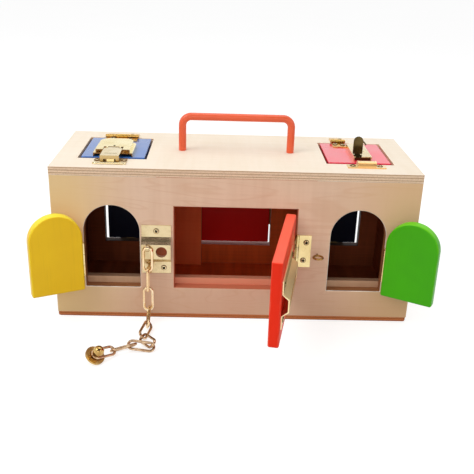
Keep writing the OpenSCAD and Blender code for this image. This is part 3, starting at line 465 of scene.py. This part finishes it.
# The rails' middle and cut_middle are painted red bounce light in the middle window
RAIL = dict(
    light=(0.66, 0.42, 0.26), dark=(0.58, 0.35, 0.21), cloud=(0.62, 0.38, 0.24), middle=(0.84, 0.36, 0.22),
    pairs=2.0, first=0.2, line=0.2, cut_light=(0.36, 0.20, 0.12), cut_dark=(0.28, 0.15, 0.085),
    cut_middle=(0.60, 0.24, 0.14), rim=0.3, rim_colour=(0.66, 0.46, 0.33))
# Dividers and roof strips: dark reddish brown as painted shade inside the box
INNER_SHADE = dict(
    light=(0.42, 0.17, 0.08), dark=(0.34, 0.13, 0.06), cloud=(0.38, 0.15, 0.07),
    pairs=3.0, first=0.2, line=0.2, cut_light=(0.40, 0.17, 0.08), cut_dark=(0.24, 0.09, 0.04),
    rim=0.2, rim_colour=(0.45, 0.20, 0.10))
# Back stop strips: bright red as painted red bounce light
RED_BOUNCE = dict(INNER_SHADE, light=(1.0, 0.22, 0.07), dark=(0.94, 0.18, 0.055), cloud=(0.98, 0.20, 0.06))
WOOD_EDGE, FRONT_EDGE = 0.5, 1.2
for node, thick, grain, look, shade_side in (
    ("front_panel", Y, X, FRONT, 1.0),
    ("back_panel", Y, X, BACK, -1.0),
    ("left_side_panel", X, Y, SIDE, 1.0),
    ("right_side_panel", X, Y, SIDE, -1.0),
    ("top_panel", Z, X, TOP, -1.0),
    ("bottom_panel", Z, X, BASE, 1.0),
    ("left_divider", X, Z, INNER_SHADE, None),
    ("right_divider", X, Z, INNER_SHADE, None),
    ("front_stop_rails", Y, X, RAIL, None),
    ("back_stop_strips", Y, X, RED_BOUNCE, None),
    ("roof_stop_strips", Z, X, INNER_SHADE, None),
):
    low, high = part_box(node)
    dress(node, plywood(node + "_wood", thick, low[thick], high[thick], grain, look, shade_side))
    soften(node, FRONT_EDGE if node == "front_panel" else WOOD_EDGE)

# Painted doors and the lacquered handle
# The last column, where given, is the colour of a painted highlight on the edges and on what looks up
NAVY = (0.010, 0.012, 0.030)
DOOR_EDGE, FRONT_DOOR_EDGE, DOOR_SEGMENTS = 1.1, 2.0, 4
for node, base, thick, grain, gloss, coat, highlight in (
    ("yellow_door", (1.0, 0.62, 0.018), swung_normal("yellow_door"), Z, 0.36, 0.0, (0.93, 0.80, 0.05)),
    ("red_door", (0.92, 0.028, 0.005), swung_normal("red_door"), Z, 0.38, 0.0, (1.0, 0.14, 0.08)),
    ("green_door", (0.062, 0.45, 0.004), swung_normal("green_door"), Z, 0.36, 0.0, (0.17, 0.62, 0.01)),
    ("blue_roof_door", (0.022, 0.13, 0.46), Z, X, 0.3, 0.68, None),
    ("pink_roof_door", (0.84, 0.020, 0.060), Z, X, 0.3, 0.85, None),
    ("left_back_door", NAVY, Y, Z, 0.4, 0.0, None),
    ("middle_back_door", (0.62, 0.008, 0.005), Y, Z, 0.4, 0.0, None),
    ("right_back_door", NAVY, Y, Z, 0.4, 0.0, None),
):
    dress(node, paint(node + "_paint", base, thick, grain, gloss, coat, highlight))
    soften(node, FRONT_DOOR_EDGE if highlight else DOOR_EDGE, DOOR_SEGMENTS)
dress("carry_handle", paint("rod_lacquer", (0.80, 0.105, 0.028), Y, X, gloss=0.3, coat=0.12))
soften("carry_handle", WOOD_EDGE)

# Keyhole in the latch's base: half its width, its ends as measured from the base's front, and how far below
# the base's top the painted shade inside it starts
KEYHOLE_HALF, KEYHOLE_NEAR, KEYHOLE_FAR, KEYHOLE_DEPTH = 1.7 * MM, 12.7 * MM, 18.1 * MM, 0.3 * MM
latch_low, latch_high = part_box("latch_base")
keyhole_x = middle("latch_base", X)
KEYHOLE = ((keyhole_x - KEYHOLE_HALF, keyhole_x + KEYHOLE_HALF),
           (latch_low[Y] + KEYHOLE_NEAR, latch_low[Y] + KEYHOLE_FAR),
           latch_high[Z] - KEYHOLE_DEPTH)

# Metal
# The plate's slopes get painted bands of reflection
brass = metal("brass", (0.70, 0.57, 0.34), (0.54, 0.40, 0.21), streak=(0.95, 0.72, 0.46))
# The track's ridge gets a painted highlight and its face painted shade
tracked = metal("track_brass", (0.96, 0.84, 0.52), (0.88, 0.70, 0.38), rough=0.38,
                ridge=((1.0, 0.96, 0.80), (0.58, 0.44, 0.21)))
leaf = metal("leaf_brass", (0.84, 0.69, 0.37), (0.72, 0.55, 0.26), high=(ROOF_Z, (0.74, 0.46, 0.14)))
pale = metal("pale_brass", (0.90, 0.79, 0.52), (0.80, 0.65, 0.36))
wire = metal("brass_wire", (0.94, 0.80, 0.56), (0.80, 0.56, 0.30), rough=0.14, scratch=0.6)
# Links lying on the floor and the chain's button: darker copies as painted shade
shaded_wire = metal("painted_shade_wire", (0.70, 0.51, 0.33), (0.33, 0.18, 0.09), rough=0.14, scratch=0.6, grain=160.0)
turned = metal("turned_brass", (0.64, 0.43, 0.15), (0.32, 0.17, 0.05), rough=0.16, grain=90.0)
aged = metal("aged_brass", (0.50, 0.29, 0.09), (0.30, 0.15, 0.04), rough=0.25)
gilt = metal("gilt_brass", (0.82, 0.55, 0.16), (0.62, 0.36, 0.07), rough=0.22)
# Slide bolt: dark brown as painted shade
painted_shade_brass = metal("painted_shade_brass", (0.13, 0.09, 0.033), (0.055, 0.036, 0.013))
# fore: painted amber reflection on the rolled keeper, painted shade on the latch base and the hasp
rolled = metal("rolled_brass", (0.92, 0.80, 0.52), (0.82, 0.66, 0.36), rough=0.45, fore=(0.90, 0.50, 0.17))
pressed = metal("pressed_brass", (1.0, 0.89, 0.53), (0.88, 0.72, 0.34), fore=(0.20, 0.075, 0.02), pit=KEYHOLE)
hasped = metal("hasp_brass", (0.88, 0.77, 0.51), (0.76, 0.61, 0.34), fore=(0.52, 0.36, 0.15))
# Painted shade on the screw heads' rims
umber = metal("umber_rim", (0.20, 0.11, 0.045), (0.12, 0.06, 0.02), rough=0.35)
steel = metal("zinc_steel", (0.62, 0.61, 0.58), (0.48, 0.47, 0.45), rough=0.3)
# Painted shade in the screw heads' cross recesses
slot_black = metal("screw_slot", (0.035, 0.022, 0.012), (0.02, 0.012, 0.006), rough=0.5)
FINISHES = {
    "screw_eye": aged, "hook_pivot": aged, "door_hook": aged, "handle_screws": steel,
    "chain_button": turned, "chain_track": tracked,
    "latch_base": pressed, "latch_hasp": hasped, "latch_keeper": pale,
    "slide_bolt": painted_shade_brass, "bolt_housing": pale, "bolt_keeper": rolled,
    "hinge_pins": leaf, "case_hinge_leaves": leaf, "yellow_hinge_leaf": leaf, "green_hinge_leaf": leaf,
    "blue_hinge_leaf": gilt, "pink_hinge_leaf": gilt,
}
# Links past the hanging ones get the darker wire as painted shade
HANGING_LINKS = 4
for node in nodes:
    if node.startswith("chain_link"):
        dress(node, wire if int(node.rsplit("_", 1)[1]) <= HANGING_LINKS else shaded_wire)
    elif node in FINISHES:
        dress(node, FINISHES[node])
    elif frame_slot[node] == "brass":
        dress(node, brass)
METAL_EDGE, BOLT_EDGE = 0.5, 0.25
for node in ("chain_anchor_plate", "chain_track", "latch_base", "latch_hasp", "latch_keeper", "bolt_housing",
             "slide_bolt", "bolt_keeper", "left_turn_button", "middle_turn_button", "right_turn_button"):
    soften(node, BOLT_EDGE if node == "slide_bolt" else METAL_EDGE)

# Screw heads. The first three tell the tips of the shanks apart and find the top of the head above each.
TIP_BAND, TIP_REACH, AXIS_REACH = 0.02 * MM, 3.0 * MM, 2.6 * MM
HEAD_RADIUS, HEAD_RISE, HEAD_SEAT = 3.2 * MM, 1.5 * MM, 0.7 * MM
# Share of the rise that is lost at the rim, and how far the skirt goes below the seat
HEAD_FALL, SKIRT = 0.75, 0.3 * MM
HEAD_TURNS = 32
HEAD_RINGS = (0.0, 0.1, 0.2, 0.3, 0.4, 0.5, 0.58, 0.7, 0.82, 0.92, 1.0)
RIM_RINGS = 3
# Cross recess, in shares of the head's radius
CROSS_SINK, CROSS_HALF, CROSS_END = 0.65 * MM, 0.18, 0.6
# Painted shade in the cross, in shares of the head's radius
DARK_HALF, DARK_END, DARK_MIDDLE = 0.2, 0.58, 0.05
FIRST_SPIN, NEXT_SPIN = 0.6, 1.7
# Material slots: plain brass, painted shade in the cross and painted shade on the rim
PLAIN, DARK, RIM = 0, 1, 2


def screw_axes(node, outward, keep=None):
    """Where the wood screws of a node sit: the middle of each head's top, found from the shanks' tips."""
    outward = np.array(outward)
    points = np.empty(len(nodes[node].data.vertices) * 3)
    nodes[node].data.vertices.foreach_get("co", points)
    points = points.reshape(-1, 3)
    if keep is not None:
        points = points[keep(points)]
    depth = points @ outward
    tips = points[depth < depth.min() + TIP_BAND]
    found = []
    while len(tips):
        near = np.linalg.norm(tips - tips[0], axis=1) < TIP_REACH
        middle = (tips[near].min(axis=0) + tips[near].max(axis=0)) / 2
        tips = tips[~near]
        offset = points - middle
        aside = np.linalg.norm(offset - np.outer(offset @ outward, outward), axis=1)
        top = depth[aside < AXIS_REACH].max()
        found.append(middle + outward * (top - middle @ outward))
    return found


def add_head(bm, place, outward, spin):
    """One raised head with a cross recess and a rim, both painted dark as shade, closed from below."""
    outward = Vector(outward).normalized()
    side = Matrix.Rotation(spin, 3, outward) @ outward.orthogonal().normalized()
    other = outward.cross(side)
    step = 2 * math.pi / HEAD_TURNS
    grid = []
    for ring in HEAD_RINGS:
        row = []
        for k in range(HEAD_TURNS):
            u, v = ring * math.cos(step * k), ring * math.sin(step * k)
            height = HEAD_RISE * (1.0 - HEAD_FALL * ring ** 3)
            if min(abs(u), abs(v)) < CROSS_HALF and ring < CROSS_END:
                height -= CROSS_SINK
            at = Vector(place) + outward * (height - HEAD_SEAT) + (side * u + other * v) * HEAD_RADIUS
            row.append(bm.verts.new(at))
        grid.append(row)
    drop = HEAD_RISE * (1.0 - HEAD_FALL) + SKIRT
    skirt = [bm.verts.new(vert.co - outward * drop) for vert in grid[-1]]
    for i, (inner, outer) in enumerate(zip(grid, grid[1:] + [skirt])):
        for k in range(HEAD_TURNS):
            n = (k + 1) % HEAD_TURNS
            face = bm.faces.new((inner[k], outer[k], outer[n], inner[n]))
            a = step * (k + 0.5)
            aside = min(abs(math.cos(a)), abs(math.sin(a))) * max(HEAD_RINGS[i], DARK_MIDDLE)
            crossed = HEAD_RINGS[i] < DARK_END and aside < DARK_HALF
            at_rim = i >= len(HEAD_RINGS) - RIM_RINGS
            face.material_index = DARK if crossed else (RIM if at_rim else PLAIN)
            face.smooth = not crossed
    bm.faces.new(skirt)


def screw_heads(name, body, places):
    """One mesh for all the screws of a body."""
    mesh = bpy.data.meshes.new(name)
    bm = bmesh.new()
    for index, (place, outward) in enumerate(places):
        add_head(bm, place, outward, FIRST_SPIN + NEXT_SPIN * index)
    bmesh.ops.remove_doubles(bm, verts=bm.verts, dist=1e-7)
    bmesh.ops.recalc_face_normals(bm, faces=bm.faces)
    bm.to_mesh(mesh)
    bm.free()
    for material in (brass, slot_black, umber):
        mesh.materials.append(material)
    obj = bpy.data.objects.new(name, mesh)
    scene.collection.objects.link(obj)
    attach(obj, body)


# The case's screws go into the front wall, the back wall and the roof between them
OUTSIDE, BETWEEN = WALL_Y + 0.5 * MM, WALL_Y - 1.5 * MM
case_places = []
for outward, keep in (
    (FORE, lambda q: q[:, Y] < -OUTSIDE),
    (AFT, lambda q: q[:, Y] > OUTSIDE),
    (UP, lambda q: (q[:, Z] > ROOF_Z) & (np.abs(q[:, Y]) < BETWEEN)),
):
    case_places += [(place, outward) for place in screw_axes("case_screws", outward, keep)]
screw_heads("case_screw_heads", "case", case_places)
for body, sources, outward in (
    ("yellow_door", ("yellow_hinge_leaf",), swung("yellow_door")),
    ("red_door", ("red_hinge_leaf", "chain_track"), swung("red_door")),
    ("green_door", ("green_hinge_leaf",), swung("green_door")),
    ("blue_roof_door", ("blue_hinge_leaf",), UP),
    ("pink_roof_door", ("pink_hinge_leaf",), UP),
    ("left_back_door", ("left_back_hinge_leaf",), AFT),
    ("middle_back_door", ("middle_back_hinge_leaf",), AFT),
    ("right_back_door", ("right_back_hinge_leaf",), AFT),
):
    places = [(place, outward) for node in sources for place in screw_axes(node, outward)]
    screw_heads(body + "_screw_heads", body, places)


def sheet(name, low, high, z):
    """A level rectangle between two corners."""
    mesh = bpy.data.meshes.new(name)
    corners = [(low[X], low[Y], z), (high[X], low[Y], z), (high[X], high[Y], z), (low[X], high[Y], z)]
    mesh.from_pydata(corners, [], [(0, 1, 2, 3)])
    obj = bpy.data.objects.new(name, mesh)
    scene.collection.objects.link(obj)
    return obj


# White floor just below the box
FLOOR_REACH, FLOOR_GAP, FLOOR_GLOW = 6.0, 0.2 * MM, 0.68
floor = sheet("floor", low=(-FLOOR_REACH, -FLOOR_REACH), high=(FLOOR_REACH, FLOOR_REACH), z=0)
floor.location.z = cad_low.z - FLOOR_GAP
floor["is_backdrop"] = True
g = Graph("paper_floor")
paper = g.mix(g.noise(g.place, scale=3.0, detail=2.0), (0.45, 0.45, 0.45), (0.47, 0.47, 0.47))
floor.data.materials.append(g.finish(
    base_color=paper, roughness=0.8, specular_ior_level=0.0,
    emission_color=(1.0, 1.0, 1.0), emission_strength=g.times(g.seen(), FLOOR_GLOW)))

# Dark flag over the front, which only reflections see
flag = sheet("flag", low=(-2.5, -4.0), high=(2.5, -0.15), z=1.8)
flag.visible_camera = False
flag.visible_diffuse = False
flag.visible_shadow = False
flag.visible_transmission = False
flag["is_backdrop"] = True
g = Graph("flag_cloth")
weave = g.mix(g.noise(g.place, scale=40.0, detail=2.0), (0.05, 0.03, 0.018), (0.08, 0.045, 0.025))
flag.data.materials.append(g.finish(base_color=weave, roughness=0.9))

# White to the eye, and a dome that gets brighter towards the top for the light
LOW_LIGHT, TOP_LIGHT = 0.25, 1.05
world = bpy.data.worlds.new("studio")
scene.world = world
world.use_nodes = True
sky = Tree(world.node_tree)
white = sky.new("Background")
sky.put((1.0, 1.0, 1.0), white.inputs["Color"])
dome = sky.new("Background")
height = sky.split(sky.new("TexCoord").outputs["Generated"])[Z]
sky.put(sky.span(height, 0.0, 1.0, LOW_LIGHT, TOP_LIGHT, smooth=False), dome.inputs["Strength"])
blend = sky.new("MixShader")
for value, socket in zip((sky.seen(), dome.outputs[0], white.outputs[0]), blend.inputs):
    sky.put(value, socket)
sky.put(blend.outputs[0], sky.new("OutputWorld").inputs[0])

# Lamps: place, what they aim at, diameter and power
for name, place, aim, size, power in (
    ("key", (-1.1, -0.75, 1.5), (0, 0, 0.08), 1.3, 14.0),
    ("fill", (1.2, -1.1, 0.9), (0, 0, 0.08), 1.2, 3.2),
    ("front", (-0.3, -1.9, 0.75), (0, 0, 0.1), 1.2, 4.5),
    ("top", (0.15, 0.1, 1.75), (0, 0, 0.18), 1.2, 5.2),
):
    light = bpy.data.lights.new(name, "AREA")
    light.shape = "DISK"
    light.size = size
    light.energy = power
    lamp = bpy.data.objects.new(name, light)
    lamp.location = place
    lamp.rotation_euler = (Vector(aim) - Vector(place)).to_track_quat("-Z", "Y").to_euler()
    scene.collection.objects.link(lamp)

# Camera, as solved from the corners of the case
EYE = Vector((-18.75, -804.40, 400.18)) * MM
YAW, PITCH, ROLL = math.radians(1.618), math.radians(22.325), math.radians(-1.841)
FOCAL_PX, FRAME_PX, SENSOR = 715.91, 474.0, 36.0
ahead = Vector((math.sin(YAW) * math.cos(PITCH), math.cos(YAW) * math.cos(PITCH), -math.sin(PITCH)))
level = Vector((math.cos(YAW), -math.sin(YAW), 0.0))
plumb = ahead.cross(level)
right = math.cos(ROLL) * level + math.sin(ROLL) * plumb
down = math.cos(ROLL) * plumb - math.sin(ROLL) * level
camera_data = bpy.data.cameras.new("camera")
camera_data.sensor_width = SENSOR
camera_data.lens = SENSOR * FOCAL_PX / FRAME_PX
camera_data.clip_start = 0.01
camera = bpy.data.objects.new("camera", camera_data)
turn = Matrix((right, -down, -ahead)).transposed()
camera.matrix_world = Matrix.Translation(EYE) @ turn.to_4x4()
scene.collection.objects.link(camera)
scene.camera = camera
scene.view_settings.view_transform = "Standard"

low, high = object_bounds()
